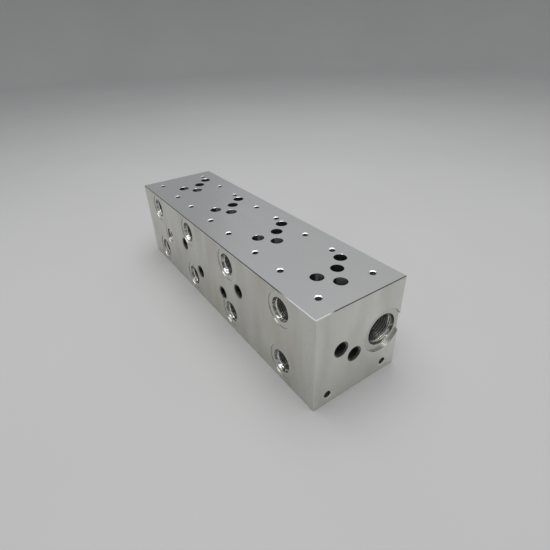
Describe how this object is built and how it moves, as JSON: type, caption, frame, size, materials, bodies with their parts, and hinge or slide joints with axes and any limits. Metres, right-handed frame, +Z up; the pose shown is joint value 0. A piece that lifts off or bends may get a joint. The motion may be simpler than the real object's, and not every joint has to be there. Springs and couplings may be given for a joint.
{
  "type": "hydraulic manifold block",
  "caption": "Long square aluminium block with a row of valve mounting patterns on top, threaded work ports in one side and a tank port in the end.",
  "frame": {"origin": "centre of the underside", "axes": "+X across the block, away from the work ports; +Y along the block, away from the tank port; +Z up, out of the valve face"},
  "size_m": [0.0888, 0.3302, 0.0889],
  "materials": {
    "block": "milled, bare"
  },
  "bodies": {
    "root": {"manifold_block": "block"}
  },
  "joints": []
}
